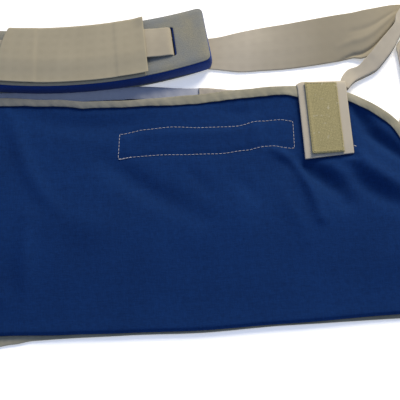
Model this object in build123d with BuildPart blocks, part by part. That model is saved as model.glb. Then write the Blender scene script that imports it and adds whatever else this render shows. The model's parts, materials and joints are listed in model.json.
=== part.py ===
"""Arm sling: a cloth pouch for the forearm, hung from a padded shoulder strap.

It lies flat, as it is put down after use. Millimetres: +X runs along the pouch towards the
hand end, +Y from the bottom seam to the mouth, +Z up. The origin is the middle of the
pouch's underside.
"""

from build123d import *
import os
from math import cos, degrees, hypot, radians, sin

os.makedirs("parts", exist_ok=True)

# ---------------------------------------------------------------- driving dimensions
# Pouch: two panels of plain-weave cloth, shut along the bottom and the elbow end.
POUCH_LENGTH = 430.0
POUCH_DEPTH = 200.0
HAND_CORNER_RADIUS = 90.0
ELBOW_CORNER_RADIUS = 14.0
CLOTH = 2.0
POCKET_GAP = 7.0
PANEL_ROLL = 8.0
BACK_RISE = 16.0
BACK_RISE_RUN = 140.0

# Binding tape folded round the raw edges, and the tape sewn under the bottom seam.
TAPE_WIDTH = 8.0
TAPE = 0.6
BOTTOM_TAPE = 1.0
BOTTOM_TAPE_REVEAL = 1.0
BOTTOM_TAPE_FLARE = 6.5
FLARE_FROM_ELBOW = 95.0
FLARE_RUN = 25.0

# Loop tape sewn inside the front panel.
LOOP_TAPE_LENGTH = 141.0
LOOP_TAPE_WIDTH = 25.0
LOOP_TAPE = 1.0
LOOP_TAPE_FROM_HAND = 170.5
LOOP_TAPE_FROM_MOUTH = 44.5

# Cotton webbing of the shoulder strap.
STRAP_WIDTH = 40.0
STRAP_GATHERED = 28.0
STRAP = 2.0
STRAP_TAIL = 20.0
LAYER_GAP = 0.3

# Elbow end of the strap: out of the elbow seam and up beside the pouch.
SIDE_RUN_FROM_POUCH = 60.0
ELBOW_RUN_FROM_MOUTH = 40.0
ELBOW_SEWN = 25.0
GATHER_RUN = 45.0
SEAM_CLEARANCE = 0.3
STEP_GAP = 1.0

# Shoulder pad: foam between two skins, curved to lie round the neck.
PAD_LENGTH = 230.0
PAD_WIDTH = 55.0
PAD_FOAM = 13.0
PAD_SKIN = 0.8
PAD_CURVE_RADIUS = 400.0
PAD_CORNER_RADIUS = 5.0
PAD_FROM_ELBOW = 150.0
PAD_FROM_MOUTH = 38.7
SLIT_WIDTH = 3.4
SLIT_CLEARANCE = 0.5
SLIT_FROM_END = 27.5
SLIT_LEAN = 4.0

# Keeper sleeve round the strap on the pad: a base, and a flap closed by hook and loop.
SLEEVE_LENGTH = 114.0
SLEEVE_SHIFT = 6.5
SLEEVE_CLOTH = 0.8
STRIP = 0.6
STRIP_WIDTH = 22.0
STRIP_MARGIN = 3.0

# Steel ring at the hand end.
RING_PAST_HAND = 23.0
RING_FROM_MOUTH = 76.0
RING_RADIUS = 17.0
RING_WIRE = 4.0
RING_WIRE_SIDES = 20
RING_CLEARANCE = 0.4
STRAP_LOOP_ANGLE = 180.0
STRAP_LOOP_SPAN = 64.0
ANCHOR_LOOP_ANGLE = 264.0
ANCHOR_LOOP_SPAN = 52.0

# Hand end of the strap: to the ring, back as a bundle, and down over the mouth as a tab.
# A stop is how far back from the ring, how far below it, and how wide the webbing is there.
STRAP_DIP = 4.5
SPREAD_RUN = 36.0
STRAP_STOPS = ((45.0, 20.0, STRAP_WIDTH), (24.0, 11.0, 35.0))
RETURN_STOPS = ((9.0, 13.0, 18.0), (20.0, 31.0, 12.0), (29.0, 46.0, 12.0))
BUNDLE_WIDTH = 12.0
BUNDLE_START = 18.0
BUNDLE_SIDE = 14.0
BUNDLE_RISE = 6.0
BUNDLE_END_WIDTH = 5.0
TAB_FROM_HAND = 74.0
TAB_REACH = 65.0
TAB_OVERHANG = 6.4
TAB_CORNER_RADIUS = 1.5
HOOK_WIDTH = 28.0
HOOK = 1.2
HOOK_MARGIN = 2.5
LOOP_WIDTH = 24.0

# The ring's anchor: stops from the ring down, and from the hand end's rounding in.
ANCHOR_STOPS = ((3.0, 14.0, 36.0), (9.0, 33.0, 38.0), (11.0, 52.0, 38.0))
SEWN_STOPS = ((4.0, 56.0, 36.0), (-11.0, 32.0, 33.0), (-23.0, 15.0, 30.0))

# ---------------------------------------------------------------- what follows from them
elbow_x = -POUCH_LENGTH / 2
hand_x = POUCH_LENGTH / 2
bottom_y = -POUCH_DEPTH / 2
mouth_y = POUCH_DEPTH / 2
corner_x = hand_x - HAND_CORNER_RADIUS
corner_y = mouth_y - HAND_CORNER_RADIUS
seam_x = elbow_x + TAPE_WIDTH
pocket_z = CLOTH + POCKET_GAP
front_z = pocket_z + CLOTH
seam_z = CLOTH + STRAP + CLOTH
loop_tape_x = hand_x - LOOP_TAPE_FROM_HAND
elbow_run_y = mouth_y - ELBOW_RUN_FROM_MOUTH
tab_x = hand_x - TAB_FROM_HAND
ring_x = hand_x + RING_PAST_HAND
ring_y = mouth_y + RING_FROM_MOUTH

pad_x = elbow_x + PAD_FROM_ELBOW
pad_y = mouth_y + PAD_FROM_MOUTH
pad_centre = (pad_x, pad_y + PAD_CURVE_RADIUS)
near_radius = PAD_CURVE_RADIUS + PAD_WIDTH / 2
far_radius = PAD_CURVE_RADIUS - PAD_WIDTH / 2
slit_along = PAD_LENGTH / 2 - SLIT_FROM_END
slit_angle = slit_along / PAD_CURVE_RADIUS
slit_length = STRAP_GATHERED + 2 * SLIT_CLEARANCE
slit_reach = PAD_CURVE_RADIUS * sin(slit_angle)
slit_y = pad_y + PAD_CURVE_RADIUS * (1 - cos(slit_angle))

pad_z = STRAP + LAYER_GAP
foam_z = pad_z + PAD_SKIN
top_skin_z = foam_z + PAD_FOAM
sleeve_z = top_skin_z + PAD_SKIN
strip_z = sleeve_z + SLEEVE_CLOTH
pad_strap_z = strip_z + STRIP
flap_strip_z = pad_strap_z + STRAP + LAYER_GAP
flap_z = flap_strip_z + STRIP

ring_z = STRAP + RING_CLEARANCE + RING_WIRE / 2
loop_inside = RING_WIRE / 2 + RING_CLEARANCE
loop_outside = loop_inside + STRAP
return_z = ring_z + loop_inside
bundle_z = return_z - STRAP
tab_fold_y = mouth_y + TAB_OVERHANG
tab_z = front_z + LAYER_GAP


# ---------------------------------------------------------------- outlines, on a level
def panel_plan(level, rise):
    """A pouch panel: square at the elbow, rounded off over the hand."""
    with BuildSketch(Plane.XY.offset(level)) as plan:
        with BuildLine():
            Polyline(
                (corner_x, mouth_y),
                (corner_x - BACK_RISE_RUN, mouth_y + rise),
                (elbow_x, mouth_y + rise),
                (elbow_x, bottom_y),
                (hand_x, bottom_y),
                (hand_x, corner_y),
            )
            CenterArc((corner_x, corner_y), HAND_CORNER_RADIUS, 0, 90)
        make_face()
    return plan.sketch


def edge_plan(level, rise, outer_inset, start_x, start_y):
    """The strip of a panel that its mouth binding covers, round to the hand end."""
    with BuildSketch(Plane.XY.offset(level)) as plan:
        offset(panel_plan(0, rise), -outer_inset, kind=Kind.INTERSECTION)
        offset(
            panel_plan(0, rise), -TAPE_WIDTH, kind=Kind.INTERSECTION, mode=Mode.SUBTRACT
        )
        inside_y = mouth_y + rise - TAPE_WIDTH
        with Locations((start_x, bottom_y)):
            Rectangle(
                2 * TAPE_WIDTH, inside_y - bottom_y,
                align=(Align.CENTER, Align.MIN), mode=Mode.SUBTRACT,
            )
        with Locations((hand_x - TAPE_WIDTH, bottom_y)):
            Rectangle(
                POUCH_LENGTH, 2 * TAPE_WIDTH,
                align=(Align.MAX, Align.CENTER), mode=Mode.SUBTRACT,
            )
        with Locations((start_x, mouth_y)):
            Rectangle(
                POUCH_LENGTH, 2 * POUCH_DEPTH,
                align=(Align.MAX, Align.CENTER), mode=Mode.SUBTRACT,
            )
        with Locations((hand_x, start_y)):
            Rectangle(
                2 * TAPE_WIDTH, POUCH_DEPTH,
                align=(Align.CENTER, Align.MAX), mode=Mode.SUBTRACT,
            )
    return plan.sketch


def pad_edge(radius, length, shift):
    """An edge of the pad, or of what lies on it."""
    start = 270 + degrees((shift - length / 2) / radius)
    return CenterArc(pad_centre, radius, start, degrees(length / radius))


def pad_plan(level, length, near, far, shift=0.0, corner=0.0):
    """A piece of the curved pad's outline: near and far edges of one length, by their radii."""
    with BuildSketch(Plane.XY.offset(level)) as plan:
        with BuildLine():
            near_edge = pad_edge(near, length, shift)
            far_edge = pad_edge(far, length, shift)
            Line(near_edge @ 0, far_edge @ 0)
            Line(near_edge @ 1, far_edge @ 1)
        make_face()
        if corner:
            fillet(plan.vertices(), corner)
    return plan.sketch


def slit_plan(level, length, width):
    """The pad's two slits, or what stands in them."""
    with BuildSketch(Plane.XY.offset(level)) as plan:
        for side in (-1, 1):
            with Locations((pad_x + side * slit_reach, slit_y)):
                Rectangle(length, width, rotation=side * SLIT_LEAN)
    return plan.sketch


def webbing_plan(level, route):
    """Webbing that lies flat along a route of (x, y, width)."""
    edges = ([], [])
    for i, (x, y, width) in enumerate(route):
        ahead = route[min(i + 1, len(route) - 1)]
        behind = route[max(i - 1, 0)]
        run_x, run_y = ahead[0] - behind[0], ahead[1] - behind[1]
        reach = width / 2 / hypot(run_x, run_y)
        edges[0].append((x - run_y * reach, y + run_x * reach))
        edges[1].append((x + run_y * reach, y - run_x * reach))
    with BuildSketch(Plane.XY.offset(level)) as plan:
        with BuildLine():
            Spline(*edges[0])
            Line(edges[0][-1], edges[1][-1])
            Spline(*reversed(edges[1]))
            Line(edges[1][0], edges[0][0])
        make_face()
    return plan.sketch


def ring_section(angle):
    """The upright plane through the ring's axis that cuts its wire at an angle."""
    across, along = cos(radians(angle)), sin(radians(angle))
    return Plane(
        origin=(ring_x, ring_y, ring_z),
        x_dir=(across, along, 0),
        z_dir=(along, -across, 0),
    )


ring_axis = Axis((ring_x, ring_y, 0), (0, 0, 1))

# ---------------------------------------------------------------- bindings and tapes
with BuildPart() as back_binding:
    extrude(edge_plan(0, BACK_RISE, 0, elbow_x, bottom_y), amount=CLOTH)
    core = edge_plan(TAPE, BACK_RISE, TAPE, elbow_x, bottom_y)
    extrude(core, amount=CLOTH - 2 * TAPE, mode=Mode.SUBTRACT)
back_binding.part.label = "back_binding"
export_step(back_binding.part, "parts/back_binding.step")

with BuildPart() as front_binding:
    start = (seam_x + PANEL_ROLL, bottom_y + PANEL_ROLL)
    extrude(edge_plan(pocket_z, 0, 0, *start), amount=CLOTH)
    core = edge_plan(pocket_z + TAPE, 0, TAPE, *start)
    extrude(core, amount=CLOTH - 2 * TAPE, mode=Mode.SUBTRACT)
front_binding.part.label = "front_binding"
export_step(front_binding.part, "parts/front_binding.step")

# The elbow seam's tape has a gap in its outer wall where the strap comes out.
with BuildPart() as elbow_binding:
    with BuildSketch(Plane.XZ.offset(-bottom_y)):
        with Locations((elbow_x, 0)):
            Rectangle(TAPE_WIDTH, seam_z, align=(Align.MIN, Align.MIN))
        with Locations((elbow_x + TAPE, TAPE)):
            Rectangle(
                TAPE_WIDTH, seam_z - 2 * TAPE,
                align=(Align.MIN, Align.MIN), mode=Mode.SUBTRACT,
            )
    extrude(amount=-POUCH_DEPTH)
    with BuildSketch(Plane.XY.offset(CLOTH)):
        with Locations((elbow_x, elbow_run_y)):
            Rectangle(TAPE_WIDTH, STRAP_WIDTH + 2 * SEAM_CLEARANCE)
    extrude(amount=STRAP, mode=Mode.SUBTRACT)
elbow_binding.part.label = "elbow_binding"
export_step(elbow_binding.part, "parts/elbow_binding.step")

with BuildPart() as bottom_tape:
    with BuildSketch():
        with BuildLine():
            Polyline(
                (seam_x, bottom_y + TAPE_WIDTH),
                (hand_x - TAPE_WIDTH, bottom_y + TAPE_WIDTH),
                (hand_x - TAPE_WIDTH, bottom_y - BOTTOM_TAPE_REVEAL),
                (elbow_x + FLARE_FROM_ELBOW + FLARE_RUN, bottom_y - BOTTOM_TAPE_REVEAL),
                (elbow_x + FLARE_FROM_ELBOW, bottom_y - BOTTOM_TAPE_FLARE),
                (seam_x, bottom_y - BOTTOM_TAPE_FLARE),
                close=True,
            )
        make_face()
    extrude(amount=BOTTOM_TAPE)
bottom_tape.part.label = "bottom_tape"
export_step(bottom_tape.part, "parts/bottom_tape.step")

with BuildPart() as loop_tape:
    with BuildSketch(Plane.XY.offset(pocket_z - LOOP_TAPE)):
        with Locations((loop_tape_x, mouth_y - LOOP_TAPE_FROM_MOUTH)):
            Rectangle(LOOP_TAPE_LENGTH, LOOP_TAPE_WIDTH)
    extrude(amount=LOOP_TAPE)
loop_tape.part.label = "loop_tape"
export_step(loop_tape.part, "parts/loop_tape.step")

# ---------------------------------------------------------------- pouch panels
with BuildPart() as back_panel:
    extrude(panel_plan(0, BACK_RISE), amount=CLOTH)
    add(back_binding.part, mode=Mode.SUBTRACT)
    add(elbow_binding.part, mode=Mode.SUBTRACT)
    add(bottom_tape.part, mode=Mode.SUBTRACT)
back_panel.part.label = "back_panel"
export_step(back_panel.part, "parts/back_panel.step")


def rolled_edges(part):
    """The top edges along the bottom fold and the elbow, where the cloth rolls over."""
    reach = ELBOW_CORNER_RADIUS
    top = part.faces().sort_by(Axis.Z)[-1]
    return [
        edge for edge in top.edges()
        if edge.center().X < seam_x + reach or edge.center().Y < bottom_y + reach
    ]


# The space that the front panel bulges over, open at the mouth and at the hand end.
with BuildPart() as pocket:
    with BuildSketch(Plane.XY.offset(CLOTH)):
        with Locations((seam_x + CLOTH, bottom_y + CLOTH)):
            space = Rectangle(POUCH_LENGTH, 2 * POUCH_DEPTH, align=(Align.MIN, Align.MIN))
        elbow_corner = space.vertices().group_by(Axis.Y)[0].sort_by(Axis.X)[0]
        fillet(elbow_corner, ELBOW_CORNER_RADIUS - CLOTH)
    extrude(amount=POCKET_GAP)
    fillet(rolled_edges(pocket.part), PANEL_ROLL - CLOTH)

with BuildPart() as front_panel:
    with BuildSketch(Plane.XY.offset(CLOTH)):
        add(panel_plan(0, 0))
        with Locations((elbow_x, 0)):
            Rectangle(
                2 * TAPE_WIDTH, 2 * POUCH_DEPTH,
                align=(Align.CENTER, Align.CENTER), mode=Mode.SUBTRACT,
            )
    extrude(amount=front_z - CLOTH)
    elbow_corner = front_panel.edges().filter_by(Axis.Z).group_by(Axis.X)[0].sort_by(Axis.Y)[0]
    fillet(elbow_corner, ELBOW_CORNER_RADIUS)
    fillet(rolled_edges(front_panel.part), PANEL_ROLL)
    add(pocket.part, mode=Mode.SUBTRACT)
    with BuildSketch(Plane.XY.offset(CLOTH)):
        with Locations((elbow_x, 0)):
            Rectangle(
                TAPE_WIDTH + CLOTH, POUCH_DEPTH - 2 * ELBOW_CORNER_RADIUS,
                align=(Align.MIN, Align.CENTER),
            )
        with Locations((elbow_x, 0)):
            Rectangle(TAPE_WIDTH, POUCH_DEPTH, align=(Align.MIN, Align.CENTER))
    extrude(amount=seam_z - CLOTH)
    with BuildSketch(Plane.XY.offset(CLOTH)):
        with Locations((elbow_x, elbow_run_y)):
            Rectangle(4 * TAPE_WIDTH, STRAP_WIDTH + 2 * SEAM_CLEARANCE)
    extrude(amount=STRAP, mode=Mode.SUBTRACT)
    add(front_binding.part, mode=Mode.SUBTRACT)
    add(elbow_binding.part, mode=Mode.SUBTRACT)
front_panel.part.label = "front_panel"
export_step(front_panel.part, "parts/front_panel.step")

# ---------------------------------------------------------------- shoulder strap
side_run_x = elbow_x - SIDE_RUN_FROM_POUCH
half = STRAP_WIDTH / 2
half_gathered = STRAP_GATHERED / 2
left_slit_x = pad_x - slit_reach
right_slit_x = pad_x + slit_reach
gathered_x = left_slit_x - SLIT_FROM_END
wide_x = gathered_x - GATHER_RUN

# Up from the elbow seam, each corner a flat fold whose cut-off side is the crease.
with BuildPart() as elbow_strap:
    with BuildSketch():
        with BuildLine():
            Polyline(
                (left_slit_x + STRAP_TAIL, slit_y + half_gathered),
                (gathered_x, slit_y + half_gathered),
                (wide_x, slit_y + half),
                (side_run_x + half, slit_y + half),
                (side_run_x - half, slit_y - half),
                (side_run_x - half, elbow_run_y + half),
                (side_run_x + half, elbow_run_y - half),
                (elbow_x - STEP_GAP, elbow_run_y - half),
                (elbow_x - STEP_GAP, elbow_run_y + half),
                (side_run_x + half, elbow_run_y + half),
                (side_run_x + half, slit_y - half),
                (wide_x, slit_y - half),
                (gathered_x, slit_y - half_gathered),
                (left_slit_x + STRAP_TAIL, slit_y - half_gathered),
                close=True,
            )
        make_face()
    extrude(amount=STRAP)
    with BuildSketch(Plane.XY.offset(STRAP)):
        with BuildLine():
            Polyline(
                (side_run_x + half, slit_y + half),
                (side_run_x - half, slit_y - half),
                (side_run_x + half, slit_y - half),
                close=True,
            )
        make_face()
        with BuildLine():
            Polyline(
                (side_run_x - half, elbow_run_y + half),
                (side_run_x + half, elbow_run_y - half),
                (side_run_x + half, elbow_run_y + half),
                close=True,
            )
        make_face()
        with Locations((elbow_x - STEP_GAP - STRAP, elbow_run_y)):
            Rectangle(
                STRAP + STEP_GAP + ELBOW_SEWN, STRAP_WIDTH,
                align=(Align.MIN, Align.CENTER),
            )
    extrude(amount=STRAP)
elbow_strap.part.label = "elbow_strap"
export_step(elbow_strap.part, "parts/elbow_strap.step")

# Out from under the pad to the ring, round its wire, and back as a folded bundle that
# opens out again at the mouth, where the tab begins.
with BuildPart() as hand_strap:
    pad_end_x = right_slit_x + SLIT_FROM_END
    ring_side_x = ring_x - RING_RADIUS
    out_route = [
        (right_slit_x - STRAP_TAIL, slit_y, STRAP_GATHERED),
        (right_slit_x, slit_y, STRAP_GATHERED),
        (pad_end_x, slit_y - STRAP_DIP, STRAP_GATHERED),
        (pad_end_x + SPREAD_RUN, slit_y - STRAP_DIP, STRAP_WIDTH),
        *((ring_side_x - back, ring_y - down, width) for back, down, width in STRAP_STOPS),
        (ring_side_x, ring_y, LOOP_WIDTH),
    ]
    extrude(webbing_plan(0, out_route), amount=STRAP)
    with BuildSketch(ring_section(STRAP_LOOP_ANGLE - STRAP_LOOP_SPAN / 2)):
        with Locations((RING_RADIUS, 0)):
            Rectangle(2 * loop_outside, 2 * loop_outside)
            Rectangle(2 * loop_inside, 2 * loop_inside, mode=Mode.SUBTRACT)
            Rectangle(
                2 * loop_outside, 2 * loop_inside,
                align=(Align.MIN, Align.CENTER), mode=Mode.SUBTRACT,
            )
    revolve(axis=ring_axis, revolution_arc=STRAP_LOOP_SPAN)
    return_route = [
        (ring_side_x - back, ring_y - down, width)
        for back, down, width in ((0, 0, LOOP_WIDTH), *RETURN_STOPS)
    ]
    extrude(webbing_plan(return_z, return_route), amount=STRAP)
    tab_side_x = tab_x + half
    bundle_route = [
        *return_route[2:],
        (tab_side_x + BUNDLE_SIDE + BUNDLE_START, tab_fold_y + 2 * BUNDLE_RISE, BUNDLE_WIDTH),
        (tab_side_x + BUNDLE_SIDE, tab_fold_y + BUNDLE_RISE, BUNDLE_WIDTH),
        (tab_side_x - BUNDLE_END_WIDTH, tab_fold_y - BUNDLE_END_WIDTH / 2, BUNDLE_END_WIDTH),
    ]
    extrude(webbing_plan(bundle_z, bundle_route), amount=2 * STRAP)
    with BuildSketch(Plane.XY.offset(return_z)):
        with Locations((tab_x, tab_fold_y)):
            Rectangle(
                STRAP_WIDTH, TAB_OVERHANG - SEAM_CLEARANCE, align=(Align.CENTER, Align.MAX)
            )
    extrude(amount=STRAP)
    with BuildSketch(Plane.XY.offset(return_z + STRAP)):
        with Locations((tab_x, tab_fold_y)):
            Rectangle(STRAP_WIDTH, STRAP, align=(Align.CENTER, Align.MAX))
    extrude(amount=tab_z - LAYER_GAP - return_z - STRAP)
hand_strap.part.label = "hand_strap"
export_step(hand_strap.part, "parts/hand_strap.step")

with BuildPart() as tab:
    with BuildSketch(Plane.XY.offset(tab_z)):
        with Locations((tab_x, tab_fold_y)):
            end = Rectangle(
                STRAP_WIDTH, TAB_OVERHANG + TAB_REACH, align=(Align.CENTER, Align.MAX)
            )
        fillet(end.vertices().group_by(Axis.Y)[0], TAB_CORNER_RADIUS)
    extrude(amount=STRAP)
tab.part.label = "tab"
export_step(tab.part, "parts/tab.step")

with BuildPart() as tab_hook:
    with BuildSketch(Plane.XY.offset(tab_z + STRAP)):
        with Locations((tab_x, tab_fold_y - HOOK_MARGIN)):
            Rectangle(
                HOOK_WIDTH, TAB_OVERHANG + TAB_REACH - 2 * HOOK_MARGIN,
                align=(Align.CENTER, Align.MAX),
            )
    extrude(amount=HOOK)
tab_hook.part.label = "tab_hook"
export_step(tab_hook.part, "parts/tab_hook.step")

# ---------------------------------------------------------------- ring and its anchor
with BuildPart() as ring:
    with BuildSketch(ring_section(0)):
        with Locations((RING_RADIUS, 0)):
            RegularPolygon(RING_WIRE / 2, RING_WIRE_SIDES)
    revolve(axis=ring_axis, revolution_arc=360)
ring.part.label = "ring"
export_step(ring.part, "parts/ring.step")

# Webbing closed round the ring, sewn down inside the pouch near the hand end.
with BuildPart() as ring_anchor:
    with BuildSketch(ring_section(ANCHOR_LOOP_ANGLE - ANCHOR_LOOP_SPAN / 2)):
        with Locations((RING_RADIUS, 0)):
            Rectangle(2 * loop_outside, 2 * loop_outside)
            Rectangle(2 * loop_inside, 2 * loop_inside, mode=Mode.SUBTRACT)
    revolve(axis=ring_axis, revolution_arc=ANCHOR_LOOP_SPAN)
    anchor_y = ring_y - RING_RADIUS - loop_inside
    anchor_route = [
        (ring_x - RING_WIRE / 2, anchor_y, LOOP_WIDTH),
        *((ring_x - back, anchor_y - down, width) for back, down, width in ANCHOR_STOPS),
        *((hand_x + past, corner_y + up, width) for past, up, width in SEWN_STOPS),
    ]
    extrude(webbing_plan(CLOTH, anchor_route), amount=STRAP)
ring_anchor.part.label = "ring_anchor"
export_step(ring_anchor.part, "parts/ring_anchor.step")

# ---------------------------------------------------------------- shoulder pad
for name, level, thickness in (
    ("pad_under_skin", pad_z, PAD_SKIN),
    ("pad_foam", foam_z, PAD_FOAM),
    ("pad_top_skin", top_skin_z, PAD_SKIN),
):
    with BuildPart() as layer:
        plan = pad_plan(
            level, PAD_LENGTH, near_radius, far_radius, corner=PAD_CORNER_RADIUS
        )
        extrude(plan, amount=thickness)
        slits = slit_plan(level, SLIT_WIDTH, slit_length)
        extrude(slits, amount=thickness, mode=Mode.SUBTRACT)
    layer.part.label = name
    export_step(layer.part, f"parts/{name}.step")

# The strap lies over the pad and goes down through both slits.
with BuildPart() as pad_strap:
    ends = slit_plan(pad_z, STRAP, STRAP_GATHERED)
    extrude(ends, amount=pad_strap_z - pad_z)
    with BuildSketch(Plane.XY.offset(pad_strap_z)):
        add(slit_plan(0, STRAP, STRAP_GATHERED))
        make_hull()
    extrude(amount=STRAP)
pad_strap.part.label = "pad_strap"
export_step(pad_strap.part, "parts/pad_strap.step")

# ---------------------------------------------------------------- keeper sleeve
spine_radius = far_radius - SLEEVE_CLOTH
with BuildPart() as sleeve_base:
    cloth = pad_plan(sleeve_z, SLEEVE_LENGTH, near_radius, spine_radius, SLEEVE_SHIFT)
    extrude(cloth, amount=SLEEVE_CLOTH)
    spine = pad_plan(strip_z, SLEEVE_LENGTH, far_radius, spine_radius, SLEEVE_SHIFT)
    extrude(spine, amount=flap_z - LAYER_GAP - strip_z)
sleeve_base.part.label = "sleeve_base"
export_step(sleeve_base.part, "parts/sleeve_base.step")

with BuildPart() as sleeve_flap:
    cloth = pad_plan(flap_z, SLEEVE_LENGTH, near_radius, spine_radius, SLEEVE_SHIFT)
    extrude(cloth, amount=SLEEVE_CLOTH)
sleeve_flap.part.label = "sleeve_flap"
export_step(sleeve_flap.part, "parts/sleeve_flap.step")

# Hook strips on the base and loop strips under the flap, one pair at each end.
strip_near = near_radius - STRIP_MARGIN
strip_far = far_radius + STRIP_MARGIN
strip_along = (SLEEVE_LENGTH - STRIP_WIDTH) / 2 - STRIP_MARGIN
for kind, level in (("hook", strip_z), ("loop", flap_strip_z)):
    for end, side in (("elbow", -1), ("hand", 1)):
        with BuildPart() as strip:
            shift = SLEEVE_SHIFT + side * strip_along
            plan = pad_plan(level, STRIP_WIDTH, strip_near, strip_far, shift)
            extrude(plan, amount=STRIP)
        strip.part.label = f"sleeve_{kind}_{end}"
        export_step(strip.part, f"parts/sleeve_{kind}_{end}.step")
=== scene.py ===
"""Looks of the arm sling: cloth, tapes, webbing, pad, hook tape and ring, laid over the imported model."""

import json
import math

import bpy
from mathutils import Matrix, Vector, noise

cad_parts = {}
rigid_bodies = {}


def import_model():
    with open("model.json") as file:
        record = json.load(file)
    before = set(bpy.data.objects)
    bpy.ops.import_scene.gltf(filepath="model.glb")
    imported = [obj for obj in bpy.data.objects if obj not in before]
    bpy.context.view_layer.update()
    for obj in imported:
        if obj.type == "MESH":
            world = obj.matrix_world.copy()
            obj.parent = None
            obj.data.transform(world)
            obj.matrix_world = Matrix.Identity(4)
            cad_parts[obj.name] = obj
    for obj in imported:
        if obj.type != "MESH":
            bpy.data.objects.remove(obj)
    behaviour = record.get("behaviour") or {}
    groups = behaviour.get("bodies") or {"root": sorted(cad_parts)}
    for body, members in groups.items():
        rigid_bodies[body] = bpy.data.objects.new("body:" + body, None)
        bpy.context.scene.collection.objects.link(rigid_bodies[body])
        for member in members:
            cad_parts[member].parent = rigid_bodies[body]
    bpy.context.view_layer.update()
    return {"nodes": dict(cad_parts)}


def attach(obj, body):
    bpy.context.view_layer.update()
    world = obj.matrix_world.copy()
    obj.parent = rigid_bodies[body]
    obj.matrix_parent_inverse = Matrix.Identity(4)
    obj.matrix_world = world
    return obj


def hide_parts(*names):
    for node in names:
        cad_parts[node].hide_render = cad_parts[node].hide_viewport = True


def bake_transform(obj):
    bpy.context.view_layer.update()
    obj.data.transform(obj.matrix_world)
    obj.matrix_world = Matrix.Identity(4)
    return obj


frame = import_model()
for other in bpy.data.objects:
    other.select_set(False)

MM = 0.001


# ---- materials
def linear(code):
    """A six-digit sRGB colour, as the linear colour that a shader takes."""
    parts = [int(code[i:i + 2], 16) / 255 for i in (0, 2, 4)]
    return [p / 12.92 if p <= 0.04045 else ((p + 0.055) / 1.055) ** 2.4 for p in parts] + [1.0]


def feed(tree, socket, value):
    """Gives a socket its value: a number, a colour, an sRGB code or (node, output)."""
    if isinstance(value, tuple) and hasattr(value[0], "outputs"):
        tree.links.new(value[0].outputs[value[1]], socket)
    else:
        socket.default_value = linear(value) if isinstance(value, str) else value


def node(tree, kind, settings=None, **links):
    """Adds a node with its settings and inputs, each by its name or, as i0, by its number."""
    made = tree.nodes.new(kind)
    for key, value in (settings or {}).items():
        setattr(made, key, value)
    for key, value in links.items():
        name = key.replace("_", " ")
        feed(tree, made.inputs[int(name[1:]) if name[1:].isdigit() else name], value)
    return made


def start_material(name, rough, sheen=0.0, metallic=0.0, gloss=0.12):
    """A material, its node tree and its texture coordinates, in metres."""
    mat = bpy.data.materials.new(name)
    mat.use_nodes = True
    tree = mat.node_tree
    shader = tree.nodes["Principled BSDF"]
    for socket, value in (("Roughness", rough), ("Metallic", metallic), ("Sheen Weight", sheen),
                          ("Sheen Roughness", 0.5), ("Specular IOR Level", gloss)):
        shader.inputs[socket].default_value = value
    return mat, tree, tree.nodes.new("ShaderNodeTexCoord")


def mixed(tree, amount, first, second):
    """Two colours mixed, each an sRGB code or a (node, output)."""
    return (node(tree, "ShaderNodeMix", {"data_type": "RGBA"}, i0=amount, i6=first, i7=second), 2)


def noisy(tree, vector, scale, detail):
    """Noise, from 0 to 1."""
    return (node(tree, "ShaderNodeTexNoise", Vector=vector, Scale=scale, Detail=detail), "Fac")


def ranged(tree, value, low, high, start=0.0, end=1.0):
    """What lies from low to high, spread from start to end."""
    links = {"From_Min": low, "From_Max": high, "To_Min": start, "To_Max": end}
    return (node(tree, "ShaderNodeMapRange", Value=value, **links), 0)


def reckoned(tree, operation, first, second):
    """Two values added or multiplied."""
    return (node(tree, "ShaderNodeMath", {"operation": operation}, i0=first, i1=second), 0)


def bands(tree, vector, axis, radian, **waver):
    """Wavering bands across an axis, one radian of their wave being so many millimetres."""
    # A wave texture of scale 1 turns 20 radians in a metre.
    return (node(tree, "ShaderNodeTexWave", {"bands_direction": axis}, Vector=vector,
                 Scale=1 / (radian * MM) / 20, **waver), "Fac")


def finished(mat, colour, height, depth, strength, fine=None):
    """The material with its colour and a bump: a height in 0..1, its depth in metres, over any finer bump."""
    tree = mat.node_tree
    bump = node(tree, "ShaderNodeBump", Strength=strength, Distance=depth, Height=height)
    if fine:
        feed(tree, bump.inputs["Normal"], fine)
    shader = tree.nodes["Principled BSDF"]
    feed(tree, shader.inputs["Base Color"], colour)
    feed(tree, shader.inputs["Normal"], (bump, "Normal"))
    return mat


def blue_cotton():
    """Plain-weave cotton, piece-dyed: dull, with slubs along both threads and slightly uneven colour."""
    mat, tree, place = start_material("blue_cotton_plain_weave", 0.95, gloss=0.05)
    body = (place, "Object")
    # Wavering bands 8 mm apart, for the weave's unevenness: its threads are too fine to draw.
    waver = {"Distortion": 3.5, "Detail": 2.0, "Detail_Scale": 2.2}
    weave = reckoned(tree, "MULTIPLY", *(bands(tree, body, axis, 1.3, **waver) for axis in "XY"))
    slubs = []
    for stretch in ((230, 1000, 230), (1000, 230, 230)):
        turned = node(tree, "ShaderNodeMapping", Vector=body, Scale=stretch)
        slubs.append(noisy(tree, (turned, "Vector"), 1.0, 2.0))
    half = reckoned(tree, "MULTIPLY", reckoned(tree, "ADD", *slubs), 0.5)
    dyed = mixed(tree, ranged(tree, half, 0.3, 0.7), "0B2146", "11305F")
    faded = mixed(tree, ranged(tree, noisy(tree, body, 22.0, 3.0), 0.3, 0.7), "0C254B", "0F2C57")
    cloth = mixed(tree, 0.45, dyed, faded)
    sunk = ranged(tree, weave, 0.0, 1.0, 0.0, 0.12)
    fine = node(tree, "ShaderNodeBump", Strength=0.25, Distance=0.2 * MM, Height=weave)
    return finished(mat, mixed(tree, sunk, cloth, "081A38"), half, 0.5 * MM, 0.5, (fine, "Normal"))


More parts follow.
